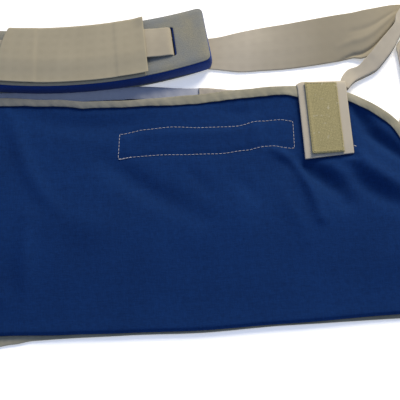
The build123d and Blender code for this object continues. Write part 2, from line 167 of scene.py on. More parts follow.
def ribbed(name, dark, light, rib, rough=0.85, streak=0.5, bump=0.4, clouds=0.3, grime_and_shade=None):
    """Woven narrow cloth: soft bands along it and finer ones across, from its own map, with soiled streaks.

    The bands lie 2 pi times rib apart, in millimetres, which is coarser than the real ribs.
    A darker stretch may be given, as its colour and where along the strip, in metres, it comes and goes:
    painted shade on the mouth tapes, and on the hand-end webbing partly painted shade, partly grime.
    """
    mat, tree, place = start_material(name, rough, sheen=0.03, gloss=0.1)
    strip = (place, "UV")
    along = bands(tree, strip, "X", rib, Distortion=0.6, Detail=1.0, Detail_Scale=4.0)
    across = bands(tree, strip, "Y", 0.8 * rib, Distortion=0.8, Detail=1.0)
    weave = reckoned(tree, "MULTIPLY", along, across)
    turned = node(tree, "ShaderNodeMapping", Vector=strip, Scale=(260, 26, 1))
    grime = noisy(tree, (turned, "Vector"), 1.0, 3.0)
    worn = mixed(tree, ranged(tree, grime, 0.3, 0.7, 0.0, streak), light, dark)
    cloudy = noisy(tree, (place, "Object"), 34.0, 2.0)
    colour = mixed(tree, ranged(tree, cloudy, 0.35, 0.7, 0.0, clouds), worn, dark)
    final = mixed(tree, ranged(tree, weave, 0.0, 1.0, 0.0, 0.16), colour, dark)
    # The darker stretch: painted shade on the mouth tapes, partly painted shade and partly grime on the
    # webbing.
    if grime_and_shade:
        grime_and_shade_colour, (start, full, fading, end) = grime_and_shade
        along_it = (node(tree, "ShaderNodeSeparateXYZ", Vector=strip), "Y")
        comes = ranged(tree, along_it, start, full, 0.0, 0.85)
        goes = ranged(tree, along_it, fading, end, 1.0, 0.0)
        final = mixed(tree, reckoned(tree, "MULTIPLY", comes, goes), final, grime_and_shade_colour)
    return finished(mat, final, weave, 0.3 * MM, bump)


def hook_cloth():
    """Nylon hook tape: dense fine hooks, matt and olive, with a little lint."""
    mat, tree, place = start_material("nylon_hook_tape", 0.7, sheen=0.2)
    # Hooks stand 1.2 mm apart on the real tape, and are drawn at that.
    hooks = node(tree, "ShaderNodeTexVoronoi", Vector=(place, "UV"), Scale=1 / (1.2 * MM), Randomness=0.35)
    caps = ranged(tree, (hooks, "Distance"), 0.0, 0.6, 1.0, 0.0)
    lint = noisy(tree, (place, "Object"), 260.0, 3.0)
    body = mixed(tree, caps, "7E7650", "9C9265")
    dusty = mixed(tree, ranged(tree, lint, 0.62, 0.72, 0.0, 0.5), body, "A8A28C")
    return finished(mat, dusty, caps, 0.4 * MM, 0.25)


def knit_skin():
    """Brushed polyester knit bonded to foam: short nap, greyed where hands have worn it."""
    mat, tree, place = start_material("brushed_knit_skin", 0.95, sheen=0.25)
    nap = noisy(tree, (place, "Object"), 900.0, 2.0)
    cloudy = noisy(tree, (place, "Object"), 45.0, 4.0)
    tone = mixed(tree, ranged(tree, cloudy, 0.35, 0.65), "6F7270", "807C69")
    speck = ranged(tree, nap, 0.35, 0.65, 0.0, 0.5)
    return finished(mat, mixed(tree, speck, tone, "656760"), nap, 0.5 * MM, 0.5)


def cut_foam():
    """Cross-linked polyethylene foam, die-cut: the edge shows its fine closed cells."""
    mat, tree, place = start_material("blue_polyethylene_foam", 0.8, sheen=0.1)
    cells = node(tree, "ShaderNodeTexVoronoi", Vector=(place, "Object"), Scale=1 / (0.9 * MM), Randomness=1.0)
    tone = ranged(tree, (cells, "Distance"), 0.0, 0.7)
    return finished(mat, mixed(tree, tone, "0F377E", "0C2B63"), (cells, "Distance"), 0.3 * MM, 0.4)


def ring_steel():
    """Bent and welded steel wire with bright nickel plate, finely marked by use."""
    mat, tree, place = start_material("nickel_plated_steel", 0.22, metallic=1.0, gloss=0.5)
    marks = noisy(tree, (place, "Object"), 420.0, 4.0)
    feed(tree, tree.nodes["Principled BSDF"].inputs["Roughness"], ranged(tree, marks, 0.3, 0.7, 0.16, 0.36))
    return finished(mat, mixed(tree, marks, "C4C4C0", "DAD9D4"), marks, 0.05 * MM, 0.2)


def thread_cotton(name, code, other):
    """Spun sewing thread, dull and slightly uneven."""
    mat, tree, place = start_material(name, 0.8, sheen=0.1)
    fuzz = noisy(tree, (place, "Object"), 700.0, 1.0)
    return finished(mat, mixed(tree, fuzz, code, other), fuzz, 0.1 * MM, 0.4)


CLOTH_BLUE = blue_cotton()
TAPE_BEIGE = ribbed("cotton_binding_tape", "686655", "948F7B", 1.1, clouds=0.5)
# The front mouth tape is darker from its elbow end to about its middle: painted shade cast by the shoulder
# pad.
TAPE_MOUTH_PAINTED_SHADE = ribbed("cotton_binding_tape_mouth_painted_shade", "686655", "948F7B", 1.1, clouds=0.5,
                    grime_and_shade=("616361", (-0.2, -0.1, 0.15, 0.26)))
# The back tape's first length: its blue-grey colour and its darker stretch near the join are painted shade
# from the shoulder pad.
TAPE_INNER_PAINTED_SHADE = ribbed("cotton_binding_tape_inner_painted_shade", "94979F", "AEB0B4", 1.1, streak=0.3, clouds=0.3,
                    grime_and_shade=("9498A2", (0.150, 0.215, 1.0, 1.1)))
TAPE_CREAM = ribbed("cotton_binding_tape_pieced_in", "857F73", "989287", 1.1, streak=0.25, clouds=0.25)
WEBBING = {"rib": 1.9, "streak": 0.15, "bump": 0.2, "clouds": 0.25}
WEB_BEIGE = ribbed("cotton_webbing", "8B8475", "A69E8C", **WEBBING)
# A darker copy of the same webbing for the strap over the pad: painted shade.
WEB_PAD_PAINTED_SHADE = ribbed("cotton_webbing_over_pad_painted_shade", "807866", "9A927E", **WEBBING)
# The hand-end webbing darkens towards the ring: partly grime, partly painted shade where the strap turns from
# the light.
WEB_GRIME_AND_SHADE = ribbed("cotton_webbing_grimed_and_painted_shade", "8B8475", "A69E8C", **WEBBING,
                     grime_and_shade=("857D68", (0.085, 0.15, 0.222, 0.24)))
SLEEVE_BEIGE = ribbed("smooth_sleeve_tape", "7F7863", "958D76", 1.6, streak=0.12, bump=0.1, clouds=0.2)
LOOP_BLUE = ribbed("napped_loop_tape", "0A2048", "123068", 1.2, rough=0.98)
HOOK_OLIVE = hook_cloth()
KNIT_GREY = knit_skin()
FOAM_BLUE = cut_foam()
STEEL = ring_steel()
THREAD_PALE = thread_cotton("pale_sewing_thread", "A29E9A", "BEBAB4")
THREAD_DULL = thread_cotton("dull_sewing_thread", "5E5B50", "7A766A")
THREAD_OLIVE = thread_cotton("olive_sewing_thread", "7A7250", "8E8664")


# ---- making cloth
def chords(points):
    """How far along its chords each point lies."""
    lengths = [0.0]
    for a, b in zip(points, points[1:]):
        lengths.append(lengths[-1] + max((b - a).length, 1e-6))
    return lengths


def through(points, t, lengths=None):
    """A smooth curve through the points, at t from 0 to 1 along their chords."""
    points = [Vector(p) for p in points]
    lengths = lengths or chords(points)
    s = min(max(t, 0.0), 1.0) * lengths[-1]
    i = 0
    while i < len(points) - 2 and s > lengths[i + 1]:
        i += 1
    span = lengths[i + 1] - lengths[i]
    w = (s - lengths[i]) / span
    a, b = points[i], points[i + 1]

    def slope(k):
        lo, hi = max(k - 1, 0), min(k + 1, len(points) - 1)
        return (points[hi] - points[lo]) / (lengths[hi] - lengths[lo]) * span

    return (
        a * (2 * w ** 3 - 3 * w ** 2 + 1) + slope(i) * (w ** 3 - 2 * w ** 2 + w)
        + b * (3 * w ** 2 - 2 * w ** 3) + slope(i + 1) * (w ** 3 - w ** 2)
    )


def ease(t):
    """A smooth rise from 0 to 1."""
    t = min(max(t, 0.0), 1.0)
    return t * t * (3 - 2 * t)


def height_at(points, x):
    """The second coordinate of a curve given by (x, y) points, at x."""
    for (x0, y0), (x1, y1) in zip(points, points[1:]):
        if x <= x1:
            return y0 + (y1 - y0) * ease((x - x0) / (x1 - x0))
    return points[-1][1]


def between(a, b, w):
    """The point that lies w of the way from a to b."""
    return [p + (q - p) * w for p, q in zip(a, b)]


def softened(obj, thick, offset=-1):
    """Thickness below, about or above the sheet, and rounded edges, both applied."""
    bpy.ops.object.select_all(action="DESELECT")
    obj.select_set(True)
    bpy.context.view_layer.objects.active = obj
    if thick:
        shell = obj.modifiers.new("thickness", "SOLIDIFY")
        shell.thickness = thick * MM
        shell.offset = offset
        bpy.ops.object.modifier_apply(modifier="thickness")
    soft = obj.modifiers.new("rounding", "SUBSURF")
    soft.levels = soft.render_levels = 1
    bpy.ops.object.modifier_apply(modifier="rounding")
    bpy.ops.object.shade_smooth()
    return obj


def dressed(obj, material, body, cad):
    """The finish, body and CAD node of a piece. One that bends between two bodies is given no body here."""
    obj.data.materials.append(material)
    if body:
        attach(obj, body)
    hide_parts(cad)
    return obj


def new_grid(name, across, along):
    """A square grid, 1 wide."""
    bpy.ops.object.select_all(action="DESELECT")
    bpy.ops.mesh.primitive_grid_add(x_subdivisions=across, y_subdivisions=along, size=1, calc_uvs=True)
    obj = bpy.context.object
    obj.name = obj.data.name = name
    return obj


def mapped(mesh, spots, across, along):
    """The map of a grid, in metres: how far across it a thread lies, and how far along that thread."""
    grid = {spots[vertex.index]: vertex.co for vertex in mesh.vertices}
    run, side, middle = {}, [0.0], along // 2
    for i in range(across + 1):
        run[i, 0] = 0.0
        for j in range(1, along + 1):
            run[i, j] = run[i, j - 1] + (grid[i, j] - grid[i, j - 1]).length
    for i in range(1, across + 1):
        side.append(side[-1] + (grid[i, middle] - grid[i - 1, middle]).length)
    for loop in mesh.loops:
        i, j = spots[loop.vertex_index]
        mesh.uv_layers[0].data[loop.index].uv = (side[i], run[i, j])


def laid(name, across, along, place, thick, material, body, cad, offset=-1):
    """A grid of cloth that place(u, v) lays, in millimetres, made thick and dressed."""
    obj = new_grid(name, across, along)
    spots = {}
    for vertex in obj.data.vertices:
        u, v = vertex.co.x + 0.5, vertex.co.y + 0.5
        spots[vertex.index] = (round(u * across), round(v * along))
        vertex.co = Vector(place(u, v)) * MM
    mapped(obj.data, spots, across, along)
    return dressed(softened(obj, thick, offset), material, body, cad)


PATH_STEPS = 400
# A stitch fills its pitch but for this share at each end.
STITCH_GAP = 0.08


def stitched(name, path, pitch, material, thick, body="pouch"):
    """A row of stitches along path(t), in millimetres: one stitch, copied end to end."""
    bpy.ops.object.select_all(action="DESELECT")
    bpy.ops.mesh.primitive_uv_sphere_add(segments=6, ring_count=5, radius=1)
    one = bpy.context.object
    stitch = [v.co.copy() for v in one.data.vertices]
    faces = [tuple(p.vertices) for p in one.data.polygons]
    bpy.ops.object.delete()
    total, last = 0.0, Vector(path(0))
    marks = [(0.0, 0.0)]
    for k in range(1, PATH_STEPS + 1):
        spot = Vector(path(k / PATH_STEPS))
        total += (spot - last).length
        marks.append((total, k / PATH_STEPS))
        last = spot
    count = max(int(total / pitch), 1)

    def at(distance):
        for (d0, t0), (d1, t1) in zip(marks, marks[1:]):
            if distance <= d1:
                w = (distance - d0) / max(d1 - d0, 1e-9)
                return Vector(path(t0 + (t1 - t0) * w))
        return Vector(path(1.0))

    verts, polys = [], []
    for k in range(count):
        a = at((k + STITCH_GAP) * total / count)
        b = at((k + 1 - STITCH_GAP) * total / count)
        along = (b - a).normalized()
        flat = Vector((-along.y, along.x, 0)).normalized()
        up = along.cross(flat)
        base = len(verts)
        for p in stitch:
            # A stitch is a little flatter than it is wide.
            spot = (a + b) / 2 + along * p.z * (b - a).length / 2 + flat * p.x * thick / 2
            verts.append((spot + up * (p.y * thick / 2.4)) * MM)
        polys.extend(tuple(base + i for i in f) for f in faces)
    mesh = bpy.data.meshes.new(name)
    mesh.from_pydata(verts, [], polys)
    obj = bpy.data.objects.new(name, mesh)
    bpy.context.collection.objects.link(obj)
    mesh.materials.append(material)
    for p in mesh.polygons:
        p.use_smooth = True
    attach(obj, body)


# ---- pouch
# The mouth's line, the hand end's and the bottom fold's, as the cloth really lies.
MOUTH = [(-207, 100.5), (-160, 105), (-121, 105.5), (-80, 101.6), (-48, 98.0), (-17, 97.3), (3, 98.0),
         (33, 99.2), (77, 102.3), (99, 103.6), (125, 103.2), (142, 100.8)]
HAND = [(142, 100.8), (162, 94.1), (177.5, 85.0), (186, 78.6), (194.5, 70.6), (201, 62), (208, 47), (213, 30),
        (215, 10), (215, -20)]
FOLD = [(-207, -99), (-160, -98.4), (-120, -98.4), (-71, -100.3), (-25, -101.5), (29, -102.7), (96, -101),
        (180, -98.6), (215, -97.6)]
ELBOW_X, TURN_X, HAND_X = -207, 142, 215
# The mouth takes this share of an edge that runs on round the hand end.
MOUTH_SHARE = 0.78


def mouth_point(u):
    """The front panel's upper edge, from the elbow seam round to the hand end's foot."""
    if u <= MOUTH_SHARE:
        x = ELBOW_X + (TURN_X - ELBOW_X) * u / MOUTH_SHARE
        return Vector((x, height_at(MOUTH, x), 0))
    return through([(x, y, 0) for x, y in HAND], (u - MOUTH_SHARE) / (1 - MOUTH_SHARE))


def fold_point(u):
    """The bottom fold, facing mouth_point."""
    if u <= MOUTH_SHARE:
        x = ELBOW_X + (TURN_X - ELBOW_X) * u / MOUTH_SHARE
    else:
        round_end = ease((u - MOUTH_SHARE) / (1 - MOUTH_SHARE) / 2)
        x = min(TURN_X + 2 * (HAND_X - TURN_X) * round_end, HAND_X)
    return Vector((x, height_at(FOLD, x), 0))


# Folds in the front panel: where each runs, how wide and how high it is, in millimetres.
CREASES = [
    ([(98, 44.5), (103, 40.5), (110, 34.5), (117, 24), (122, 11), (126, -4), (129, -18)], 4.0, 4.8),
    ([(111, 33), (122, 26), (134, 17.5), (143, 7), (149, -4)], 7.5, -5.6),
    ([(134, 30), (141, 27), (151, 20), (156, 8)], 6.0, 2.2),
    ([(99.6, 10), (105, -6), (112, -19), (116, -33)], 6.0, 1.3),
    ([(154, 41), (160, 36), (171, 23), (183, 12.7), (194, 4.7), (206, -1)], 9.0, 6.4),
    ([(155, 27), (160, 19.6), (164, 12), (176, 2.3), (188, -6), (200, -12)], 8.0, -3.0),
    ([(167, 78), (170, 72), (175, 57), (185, 46.5), (198, 34.4), (207, 28)], 6.2, -6.4),
    ([(-116, 97), (-110, 77), (-104, 56), (-96, 32), (-84, 12), (-76, 2)], 6.5, 2.3),
    ([(-99, -4), (-101, -39), (-101, -84)], 7.0, 2.4),
    ([(-86, 82), (-76, 79), (-58, 76), (-36, 74), (-16, 76), (-8, 79)], 9.0, -2.2),
    ([(-172, -88), (-150, -92), (-118, -94), (-88, -95), (-70, -96)], 5.5, -2.2),
    ([(-4, 64), (12, 63.5), (31, 63), (50, 62.5), (70, 62.5)], 8.0, 0.9),
    ([(57, 84), (66, 81), (76, 80), (86, 81)], 6.0, -1.4),
    ([(81, 84), (84, 63), (86, 47)], 5.5, 1.3),
    ([(-38, 42), (-31, 37), (-15, 23), (-1, 12), (13, 3), (36, -12)], 9.5, -3.3),
    ([(27, 31), (36, 20), (44, 9)], 5.0, -1.1),
    ([(65, 21), (73, 12), (81, 2)], 6.0, -1.3),
    ([(-76, -8), (-50, -13), (-26, -20)], 13.0, 1.3),
    ([(-125, -64), (-119, -70), (-110, -80), (-101, -89)], 8.0, 2.2),
    ([(62, 24), (70, -20), (74, -70)], 16.0, 0.8),
    ([(-150, 96), (-160, 60), (-180, 10)], 9.0, 1.8),
    ([(150, -96), (172, -60), (200, -30)], 11.0, 1.4),
    ([(-190, -90), (-170, -60), (-160, -30)], 9.0, 1.8),
]


def nearest(points, x, y):
    """How far (x, y) is from the line through the points, and how far along it that is, from 0 to 1."""
    best = (1e9, 0.0)
    for k in range(len(points) - 1):
        (x0, y0), (x1, y1) = points[k], points[k + 1]
        dx, dy = x1 - x0, y1 - y0
        w = min(max(((x - x0) * dx + (y - y0) * dy) / (dx * dx + dy * dy), 0.0), 1.0)
        best = min(best, (math.hypot(x - x0 - dx * w, y - y0 - dy * w), (k + w) / (len(points) - 1)))
    return best


def crease_height(x, y):
    """What the folds add to the front panel's height, each fading towards its ends."""
    total = 0.0
    for points, wide, high in CREASES:
        d, share = nearest(points, x, y)
        if d < 3 * wide:
            fade = 0.35 + 0.65 * math.sin(math.pi * min(max(share, 0.08), 0.92))
            total += high * math.exp(-(d / wide) ** 2) * fade
    return total


def slack_cloth(x, y, seed=0.0):
    """The pouch cloth's own unevenness, in millimetres."""
    broad = noise.noise((x / 75, y / 60, seed))
    middling = noise.noise((x / 26, y / 34, seed + 7))
    return 0.9 * broad + 0.45 * middling


# The rectangle that the loop tape behind the panel is sewn in by.
RECT_TOP = [(-25, 66.2), (-6, 68.9), (16, 69.8), (40, 67.6), (67, 67.6), (89, 71.6), (104, 72.2),
            (114.5, 70.2)]
RECT_LOW = [(-27, 43.6), (-13, 44.9), (7, 45.4), (33, 43.9), (54, 43.5), (74, 45.4), (92, 48.2),
            (113.6, 45.4)]


def quilted(x, y):
    """How the cloth draws in at the sewn rectangle and swells inside it."""
    if x < -40 or x > 128 or y < 30 or y > 86:
        return 0.0
    top, low = height_at(RECT_TOP, x), height_at(RECT_LOW, x)
    inside = min(y - low, top - y, x + 26, 114 - x)
    return -0.55 * math.exp(-(inside / 1.6) ** 2) + 0.5 * ease(inside / 5)


def panel_height(x, y, edge):
    """The front panel's top surface: flat on the pocket, eased down to its bindings."""
    under_tab = ease((164 - x) / 4) * ease((x - 117) / 4) * ease((y - 30) / 5)
    folds = crease_height(x, y) * (1 - under_tab) + slack_cloth(x, y)
    if x > 140:
        edge = min(edge, nearest(HAND, x, y)[0])
    # Towards the bottom fold the two panels come together.
    return 10.6 - 5.2 * ease((-2 - y) / 92) + folds * ease((edge - 4) / 12) + quilted(x, y)


# The heights of the bottom fold and the elbow seam, how far the fold's roll reaches up the panel, and how far
# the cloth stops short of its tape's edge.
FOLD_Z, SEAM_Z, ROLL_UP, SHORT = 2.4, 4.4, 3.0, 1.2
ROLL_SHARE = 0.05


def front_place(u, v):
    """The front panel: a roll over the bottom fold, then up to the mouth."""
    top, foot = mouth_point(u), fold_point(u)
    depth = (top - foot).length
    run = (top - foot) / depth
    if v < ROLL_SHARE:
        a = math.pi / 2 * (v / ROLL_SHARE)
        spot = foot + run * (ROLL_UP - 2.6 * math.cos(a))
        z = FOLD_Z + (panel_height(spot.x, spot.y, 4) - FOLD_Z) * math.sin(a)
    else:
        w = (v - ROLL_SHARE) / (1 - ROLL_SHARE)
        spot = foot + run * (ROLL_UP + (depth - ROLL_UP - SHORT) * w)
        z = panel_height(spot.x, spot.y, min(depth * (1 - w), 40 * w + 4))
    # The elbow end rolls down to its seam.
    near = ease((spot.x - ELBOW_X) / 12)
    return (spot.x, spot.y, SEAM_Z + (z - SEAM_Z) * math.sin(math.pi / 2 * near))


front = laid("front_cloth", 138, 84, front_place, 1.1, CLOTH_BLUE, "pouch", "front_panel")


BACK_MOUTH = [(-215, 115.6), (-15, 115.6), (40, 110.8), (79, 106.4), (125, 101.5), (142, 99)]
BACK_ELBOW_X, BACK_Z = -214, 1.6


def back_point(u):
    """The back panel's upper edge, which stands higher than the front one's."""
    if u <= MOUTH_SHARE:
        x = BACK_ELBOW_X + (TURN_X - BACK_ELBOW_X) * u / MOUTH_SHARE
        return Vector((x, height_at(BACK_MOUTH, x), 0))
    return mouth_point(u) + Vector((0, -1.0, 0))


def back_place(u, v):
    """The back panel, flat on its way from the fold to just short of its tape's edge."""
    top, foot = back_point(u), fold_point(u)
    if u <= MOUTH_SHARE:
        foot.x = top.x
    spot = foot + Vector((0, 1.0, 0)) + (top - foot - Vector((0, 1.0 + SHORT, 0))) * v
    return (spot.x, spot.y, BACK_Z + 0.15 * noise.noise((spot.x / 40, spot.y / 40, 3)))


back = laid("back_cloth", 90, 50, back_place, 1.0, CLOTH_BLUE, "pouch", "back_panel")


def folded_over(u, under, turn, reach, nose, half):
    """Tape folded over an edge: how far in a spot is, how high, and how far along the upper leg, if on it.

    Of u, the share under lies below the edge and the share turn goes round it, nose deep.
    """
    if u < under:
        w = u / under
        return reach * (1 - w) + nose * w, -half, None
    if u < under + turn:
        a = math.pi * (u - under) / turn
        return nose - nose * math.sin(a), -half * math.cos(a), None
    w = (u - under - turn) / (1 - under - turn)
    return nose * (1 - w) + reach * w, half, w


# How wide the front tape shows, by x: it was sewn on by eye, and shows wider where the tab crosses it.
FRONT_SHOWS = [(-207, 8.6), (-120, 8.5), (-88, 7.0), (-12, 7.0), (28, 9.2), (96, 9.1), (110, 9.0),
               (123, 12.0), (150, 9), (170, 8.2), (215, 8)]


def binding(name, edge, along, width, base, gap, seed, cad, material, start=0.0, end=1.0):
    """Tape folded over a raw edge: under it, round it and back over it, puckered by its stitches."""

    def place(u, v):
        t = start + (end - start) * v
        spot = edge(t)
        step = edge(min(t + 0.004, 1.0)) - edge(max(t - 0.004, 0.0))
        step.normalize()
        inward = Vector((step.y, -step.x, 0))
        reach = (width or height_at(FRONT_SHOWS, spot.x)) + 0.35 * noise.noise((v * along / 5, seed, 1))
        pucker = 0.32 * noise.noise((v * along / 2.2, seed, u)) + 0.22 * math.sin(v * along * 1.9 + seed)
        s, z, w = folded_over(u, 0.45, 0.1, reach, gap / 2, gap / 2)
        if w is not None:
            z += 0.45 * math.sin(math.pi * w) + pucker * (0.4 + 0.6 * math.sin(math.pi * w))
            s += 0.35 * noise.noise((v * along / 3.1, seed, 5)) * w
        spot = spot + inward * s
        return (spot.x, spot.y, base + z)

    return laid(name, 20, along * 3, place, 0.5, material, "pouch", cad, offset=1)


front_tape = binding("front_mouth_binding", mouth_point, 150, None, 10.4, 2.2, 1.0, "front_binding",
                     TAPE_MOUTH_PAINTED_SHADE)
# The back tape is pieced: a paler length laps over the first one towards the hand end. The first length's
# blue-grey colour, darker towards the join, is painted shade from the shoulder pad.
PIECED_AT = 0.5587
back_tape = binding("back_mouth_binding", back_point, 84, 12.8, 1.75, 2.0, 6.0, "back_binding", TAPE_INNER_PAINTED_SHADE,
                    end=PIECED_AT + 0.012)
pieced_tape = binding("back_mouth_binding_pieced", back_point, 66, 13.2, 2.5, 3.4, 9.0, "back_binding",
                      TAPE_CREAM, start=PIECED_AT)


def elbow_seam_place(u, v):
    """The elbow end's tape: folded round both panels' raw edges."""
    y = -100 + 200 * v
    s, z, w = folded_over(u, 0.4, 0.2, 8.0, 1.0, 2.8)
    if w is not None:
        z += 0.3 * math.sin(math.pi * w) + 0.2 * noise.noise((y / 4, u * 3, 2))
    return (-HAND_X + s, y, 3.0 + z)


elbow_tape = laid("elbow_seam_binding", 20, 200, elbow_seam_place, 0.5, TAPE_BEIGE, "pouch",
                  "elbow_binding")


BOTTOM_EDGE = [(-207, -106.3), (-125, -106.2), (-110, -104.6), (-95, -102.6), (-70, -102.2), (-25, -102.4),
               (29, -103.6), (96, -101.4), (180, -100.8), (207, -100.4)]


def bottom_tape_place(u, v):
    """The tape under the bottom seam, from its showing edge up to where it is sewn."""
    x = ELBOW_X - 2 * ELBOW_X * v
    low, sewn = height_at(BOTTOM_EDGE, x), -92
    y = sewn + (low - sewn) * (1 - u)
    return (x, y, 0.95 + 0.12 * noise.noise((x / 9, y / 5, 4)))


bottom_tape = laid("bottom_seam_tape", 8, 160, bottom_tape_place, 0.7, TAPE_BEIGE, "pouch",
                   "bottom_tape")


def loop_tape_place(u, v):
    """The loop tape behind the sewn rectangle, along the panel's inner face."""
    x = -26 + 141 * v
    low, top = height_at(RECT_LOW, x), height_at(RECT_TOP, x)
    return (x, top + (low - top) * u, 8.9 + 0.3 * slack_cloth(x, low))


loop_tape = laid("inside_loop_tape", 8, 40, loop_tape_place, 0.9, LOOP_BLUE, "pouch",
                 "loop_tape")


# ---- straps
def ribbon(stations):
    """place(u, v) for webbing: each station gives, for u, a point it passes."""
    lengths = chords([s(0.5) for s in stations])

    def place(u, v):
        return through([s(u) for s in stations], v, lengths)
    return place


def rung(lower, upper, z, crown=0.0, lean=0.0):
    """A station from a strap's lower edge to its upper one, (x, y) each; lean lifts the lower edge."""
    def at(u):
        return Vector((*between(lower, upper, u), z + crown * math.sin(math.pi * u) + lean * (1 - u)))
    return at


RING_AT = Vector((238, 176, 4.4))
RING_R = 17.0


def round_wire(middle, span, turn, radius, flip=1):
    """A station on the strap's turn round the ring's wire: turn 0 is under the wire, 180 over it."""
    def at(u):
        angle = math.radians(middle + flip * span * (0.5 - u))
        out = Vector((math.cos(angle), math.sin(angle), 0))
        a = math.radians(turn)
        return RING_AT + out * (RING_R - radius * math.sin(a)) + Vector((0, 0, -radius * math.cos(a)))
    return at


def creased(place, lines):
    """The same webbing with long creases: (across at start and end, width, height, from, to) each."""
    def laid_down(u, v):
        spot = Vector(place(u, v))
        for centre0, centre1, wide, high, start, end in lines:
            if start < v < end:
                share = (v - start) / (end - start)
                centre = centre0 + (centre1 - centre0) * share
                fade = math.sin(math.pi * share) ** 0.7
                spot.z += high * fade * math.exp(-((u - centre) / wide) ** 2)
        return spot
    return laid_down


def pleated(centre, heading, width, z, pleat, thick=1.5, layers=3):
    """A station square to the heading, the webbing folded in pleats: pleat 0 is flat, 1 is fully folded."""
    a = math.radians(heading)
    side = Vector((-math.sin(a), math.cos(a), 0))

    def at(u):
        w = u * layers
        k = min(int(w), layers - 1)
        w -= k
        zigzag = w if k % 2 == 0 else 1 - w
        folded = Vector((*centre, z + thick * (u - 0.5) * layers)) + side * width * (zigzag - 0.5)
        open_out = Vector((*centre, z)) + side * width * (u - 0.5)
        return open_out + (folded - open_out) * pleat
    return at


hand_run = ribbon([
    rung((-2, 138), (1, 166), 1.6), rung((24, 132.5), (24, 160.5), 1.7),
    rung((54.5, 128.6), (55.5, 159.6), 1.7, 0.3, -0.3), rung((76, 124.9), (79, 164.2), 1.8, 0.8, -0.6),
    rung((94.5, 125.1), (98, 167.2), 2.2, 1.0, -1.1), rung((113.6, 125.5), (117.4, 168.9), 3.6, 0.9, -2.6),
    rung((134.6, 127.2), (138.7, 171.1), 5.4, 0.7, -4.0),
    rung((155.8, 129.7), (160.1, 173.7), 6.4, 0.6, -4.5),
    rung((170.3, 132.2), (174.8, 175.4), 6.6, 0.6, -3.8),
    rung((178.5, 131.0), (184, 177.4), 6.6, 0.6, -3.6), rung((188, 134.8), (193, 179.2), 6.0, 0.6, -3.2),
    rung((201, 147), (203, 182.0), 4.2, 0.7, -2.4), rung((213, 160), (212, 184.0), 2.6, 0.4, -0.9),
    round_wire(180, 64, 0, 3.4), round_wire(180, 64, 90, 3.4), round_wire(180, 64, 180, 3.4),
    pleated((218, 168.0), 58, 14, 7.9, 0.4), pleated((212.8, 159.0), 58, 9.5, 7.0, 0.95),
    pleated((207, 151.0), 56, 10.5, 6.4, 1.0), pleated((200.4, 141.9), 53, 13, 5.8, 1.0),
    pleated((191.5, 130.8), 51, 13.5, 5.0, 1.0), pleated((184.5, 123.6), 42, 13.5, 3.8, 1.0),
    pleated((175.8, 117.6), 27, 10.5, 3.4, 1.0), pleated((168.3, 114.2), 36, 11.5, 4.2, 1.0),
    pleated((162.9, 108.2), 54, 10, 5.8, 1.0), pleated((159.4, 101.5), 60, 7.5, 7.0, 1.0),
])
# Where the webbing is drawn together towards the ring.
hand_lines = [
    (-0.05, 0.35, 0.04, -1.9, 0.465, 0.665), (-0.3, 0.2, 0.12, 1.4, 0.47, 0.67),
    (0.55, 0.72, 0.06, -0.6, 0.5, 0.66), (0.28, 0.62, 0.07, 0.7, 0.47, 0.66),
]
hand_web = laid("hand_end_strap", 42, 230, creased(hand_run, hand_lines), 1.2, WEB_GRIME_AND_SHADE,
                "pouch", "hand_strap", offset=0)

ring_anchor_run = ribbon([
    rung((177, 20), (203, 13), 3.6), rung((186, 44), (218, 36), 3.7), rung((201, 68), (236, 62), 3.8, 0.6),
    rung((208.5, 92), (246, 92), 3.8, 0.8), rung((208.8, 114), (247, 114), 3.8, 0.8),
    rung((208.4, 130), (247, 130), 3.8, 0.9), rung((209, 143), (248, 142), 3.4, 0.9),
    rung((220, 154), (248, 153), 2.0, 0.4), round_wire(264, 52, 0, 3.4, -1),
    round_wire(264, 52, 90, 3.4, -1), round_wire(264, 52, 180, 3.4, -1),
    rung((223, 154.5), (247, 153.5), 7.4, 0.4), rung((213, 142), (247, 141), 5.8, 0.9),
    rung((210.5, 132), (246, 132), 5.8, 0.8),
])
anchor_lines = [
    (0.3, 0.4, 0.08, 1.0, 0.3, 0.62), (0.6, 0.55, 0.08, 1.0, 0.34, 0.62), (0.8, 0.7, 0.07, -0.8, 0.3, 0.6),
]
anchor_web = laid("ring_anchor_strap", 36, 130, creased(ring_anchor_run, anchor_lines), 1.2, WEB_BEIGE,
                  "pouch", "ring_anchor", offset=0)

# The elbow end of the strap, with its two flat corner folds.
SIDE_IN, SIDE_OUT = -255.0, -295.0

elbow_run = ribbon([
    rung((-192, 40), (-192, 80), 3.4), rung((-213, 40), (-213, 80), 3.4), rung((-218, 40), (-218, 80), 2.4),
    rung((-226, 40), (-226, 80), 1.5, 0.3), rung((-246, 40), (-252, 80), 1.5, 0.2),
    rung((SIDE_IN + 3, 40), (SIDE_OUT + 3, 80), 1.5),
    rung((SIDE_IN - 0.6, 39.4), (SIDE_OUT - 0.6, 79.4), 2.2), rung((SIDE_IN, 43), (SIDE_OUT, 83), 3.0),
    rung((SIDE_IN, 88), (SIDE_OUT, 88), 2.6), rung((SIDE_IN, 100), (SIDE_OUT, 100), 1.5, 0.4),
    rung((SIDE_IN, 116), (SIDE_OUT, 116), 1.5, 0.3), rung((SIDE_IN, 165.2), (SIDE_OUT, 125.2), 1.5),
    rung((SIDE_IN - 0.6, 168.8), (SIDE_OUT - 0.6, 128.8), 2.2),
    rung((SIDE_IN + 3, 168.2), (SIDE_OUT + 3, 128.2), 3.0), rung((-247, 168.2), (-247, 128.2), 2.6),
    rung((-236, 168.2), (-236, 128.2), 1.5, 0.3), rung((-220, 167.4), (-220, 128.6), 1.6, 0.8),
    rung((-203, 164.4), (-203, 131.8), 1.5, 0.5), rung((-192, 162.8), (-192, 133.4), 1.4),
    rung((-180, 161.8), (-180, 134.0), 1.3), rung((-152, 162.0), (-152, 134.2), 1.3),
    rung((-133, 162.0), (-133, 134.2), 1.3),
])
